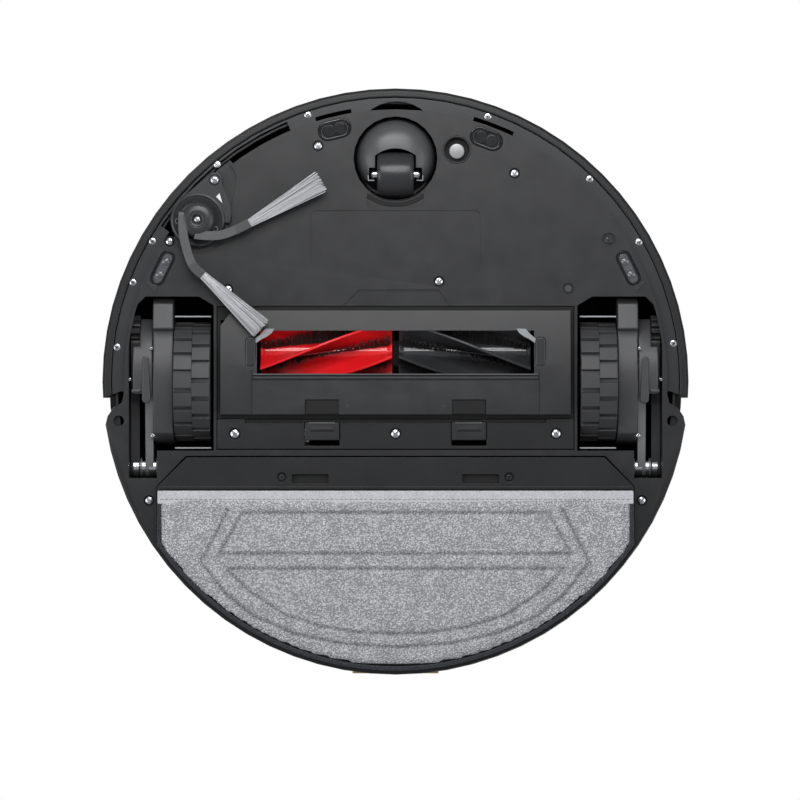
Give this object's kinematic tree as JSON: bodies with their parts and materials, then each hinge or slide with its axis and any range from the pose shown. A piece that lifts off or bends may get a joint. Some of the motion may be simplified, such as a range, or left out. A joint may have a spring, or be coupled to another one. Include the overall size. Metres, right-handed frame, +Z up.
{
  "type": "robot vacuum and mop",
  "caption": "Round robot vacuum and mop with split main brush, swing-out side brush, lifting mop pad, drive wheels, caster and sprung front bumper.",
  "frame": {"origin": "on the floor, under the centre of the round body, with the robot standing on its wheels", "axes": "+Z up; -Y towards the front bumper; the side brush is on the -X side"},
  "size_m": [0.352, 0.352, 0.08],
  "materials": {
    "satin_black": "fine-grained satin moulding",
    "dark_plastic": "satin moulding",
    "wheel_hub": "satin moulding",
    "gloss_black": "polished infrared window",
    "bin_plastic": "smoked moulding",
    "cell_pack": "wrapped cells, given a metal's density",
    "motor_case": "plain can",
    "circuit_board": "coated board",
    "steel": "bright",
    "contact_metal": "plated",
    "tyre_rubber": "matte rubber",
    "flex_rubber": "soft grey rubber",
    "bristles": "nylon bristles",
    "red_rubber": "satin rubber",
    "black_rubber": "satin rubber",
    "mop_cloth": "looped pile"
  },
  "bodies": {
    "chassis": {"base_plate": "satin_black", "side_shell": "satin_black", "top_deck": "satin_black", "caster_socket": "dark_plastic", "carpet_sensor": "satin_black", "front_left_cliff_sensor": "gloss_black", "front_right_cliff_sensor": "gloss_black", "side_left_cliff_sensor": "gloss_black", "side_right_cliff_sensor": "gloss_black", "battery_pack": "cell_pack", "main_board": "circuit_board", "suction_fan": "motor_case", "dust_bin": "bin_plastic", "brush_housing": "dark_plastic", "brush_motor": "motor_case", "brush_plate": "satin_black", "water_tank": "bin_plastic", "side_brush_motor": "motor_case", "left_pivot_pin": "steel", "right_pivot_pin": "steel", "left_wheel_house": "dark_plastic", "right_wheel_house": "dark_plastic", "left_charge_contact": "contact_metal", "right_charge_contact": "contact_metal"},
    "bumper": {"bumper_shell": "satin_black", "bumper_lip": "satin_black", "sensor_window": "gloss_black"},
    "caster_swivel": {"caster_yoke": "satin_black", "caster_axle": "steel"},
    "caster_wheel": {"caster_roller": "dark_plastic"},
    "brush_arm": {"side_brush_arm": "dark_plastic"},
    "side_brush": {"side_brush_hub": "satin_black", "side_brush_flex": "flex_rubber", "bristle_tuft_a": "bristles", "bristle_tuft_b": "bristles"},
    "red_roller": {"red_roller": "red_rubber"},
    "black_roller": {"black_roller": "black_rubber"},
    "brush_cover": {"brush_cover": "satin_black"},
    "mop": {"mop_plate": "satin_black", "mop_pad": "mop_cloth"},
    "lid": {"top_lid": "satin_black"},
    "power_button": {"power_button": "dark_plastic"},
    "home_button": {"home_button": "dark_plastic"},
    "lidar": {"lidar_turret": "dark_plastic"},
    "left_arm": {"left_swing_arm": "steel", "left_gearbox": "dark_plastic", "left_lift_guard": "satin_black", "left_lift_sector": "steel"},
    "left_wheel": {"left_hub": "wheel_hub", "left_tyre": "tyre_rubber"},
    "left_pinion": {"left_lift_pinion": "steel"},
    "left_cover_latch": {"left_cover_latch": "satin_black"},
    "right_arm": {"right_swing_arm": "steel", "right_gearbox": "dark_plastic", "right_lift_guard": "satin_black", "right_lift_sector": "steel"},
    "right_wheel": {"right_hub": "wheel_hub", "right_tyre": "tyre_rubber"},
    "right_pinion": {"right_lift_pinion": "steel"},
    "right_cover_latch": {"right_cover_latch": "satin_black"}
  },
  "joints": [
    {"name": "bumper_press", "type": "slide", "parent": "chassis", "child": "bumper", "axis": [0, 1, 0], "range_m": [0, 0.003], "stiffness_N_per_m": 600},
    {"name": "left_wheel_drop", "type": "hinge", "parent": "chassis", "child": "left_arm", "pos_m": [-0.15, 0.052, 0.034], "axis": [1, 0, 0], "range_deg": [0, 20]},
    {"name": "left_wheel_spin", "type": "hinge", "parent": "left_arm", "child": "left_wheel", "pos_m": [-0.122, 0, 0.036], "axis": [1, 0, 0], "continuous": true},
    {"name": "left_pinion_turn", "type": "hinge", "parent": "chassis", "child": "left_pinion", "pos_m": [-0.157, -0.03175, 0.034], "axis": [1, 0, 0], "range_deg": [-204, 0]},
    {"name": "right_wheel_drop", "type": "hinge", "parent": "chassis", "child": "right_arm", "pos_m": [0.15, 0.052, 0.034], "axis": [1, 0, 0], "range_deg": [0, 20]},
    {"name": "right_wheel_spin", "type": "hinge", "parent": "right_arm", "child": "right_wheel", "pos_m": [0.122, 0, 0.036], "axis": [1, 0, 0], "continuous": true},
    {"name": "right_pinion_turn", "type": "hinge", "parent": "chassis", "child": "right_pinion", "pos_m": [0.157, -0.03175, 0.034], "axis": [1, 0, 0], "range_deg": [-204, 0]},
    {"name": "caster_turn", "type": "hinge", "parent": "chassis", "child": "caster_swivel", "pos_m": [0, -0.1338, 0.036], "axis": [0, 0, 1], "continuous": true},
    {"name": "caster_roll", "type": "hinge", "parent": "caster_swivel", "child": "caster_wheel", "pos_m": [0, -0.1242, 0.0132], "axis": [1, 0, 0], "continuous": true},
    {"name": "brush_arm_swing", "type": "hinge", "parent": "chassis", "child": "brush_arm", "pos_m": [-0.1084, -0.1208, 0.012], "axis": [0, 0, 1], "range_deg": [0, 35]},
    {"name": "side_brush_spin", "type": "hinge", "parent": "brush_arm", "child": "side_brush", "pos_m": [-0.1185, -0.0968, 0.008], "axis": [0, 0, 1], "continuous": true},
    {"name": "red_roller_spin", "type": "hinge", "parent": "chassis", "child": "red_roller", "pos_m": [-0.04, -0.0176, 0.024], "axis": [1, 0, 0], "continuous": true},
    {"name": "black_roller_spin", "type": "hinge", "parent": "chassis", "child": "black_roller", "pos_m": [0.04, -0.0176, 0.024], "axis": [1, 0, 0], "continuous": true},
    {"name": "cover_off", "type": "slide", "parent": "chassis", "child": "brush_cover", "axis": [0, 0, -1], "range_m": [0, 0.02], "deforming": ["bristle_tuft_a"]},
    {"name": "left_latch_slide", "type": "slide", "parent": "chassis", "child": "left_cover_latch", "axis": [0, 1, 0], "range_m": [0, 0.003], "stiffness_N_per_m": 300},
    {"name": "right_latch_slide", "type": "slide", "parent": "chassis", "child": "right_cover_latch", "axis": [0, 1, 0], "range_m": [0, 0.003], "stiffness_N_per_m": 300},
    {"name": "mop_lift", "type": "slide", "parent": "chassis", "child": "mop", "axis": [0, 0, 1], "range_m": [0, 0.0065]},
    {"name": "lid_off", "type": "slide", "parent": "chassis", "child": "lid", "axis": [0, 0, 1], "range_m": [0, 0.03]},
    {"name": "power_press", "type": "slide", "parent": "chassis", "child": "power_button", "axis": [0, 0, -1], "range_m": [0, 0.0008], "stiffness_N_per_m": 500},
    {"name": "home_press", "type": "slide", "parent": "chassis", "child": "home_button", "axis": [0, 0, -1], "range_m": [0, 0.0008], "stiffness_N_per_m": 500},
    {"name": "lidar_rise", "type": "slide", "parent": "chassis", "child": "lidar", "axis": [0, 0, 1], "range_m": [0, 0.018]}
  ],
  "couplings": [
    {"joint": "left_pinion_turn", "follows": "left_wheel_drop", "ratio": -10.167},
    {"joint": "right_pinion_turn", "follows": "right_wheel_drop", "ratio": -10.167},
    {"joint": "black_roller_spin", "follows": "red_roller_spin", "ratio": 1}
  ]
}
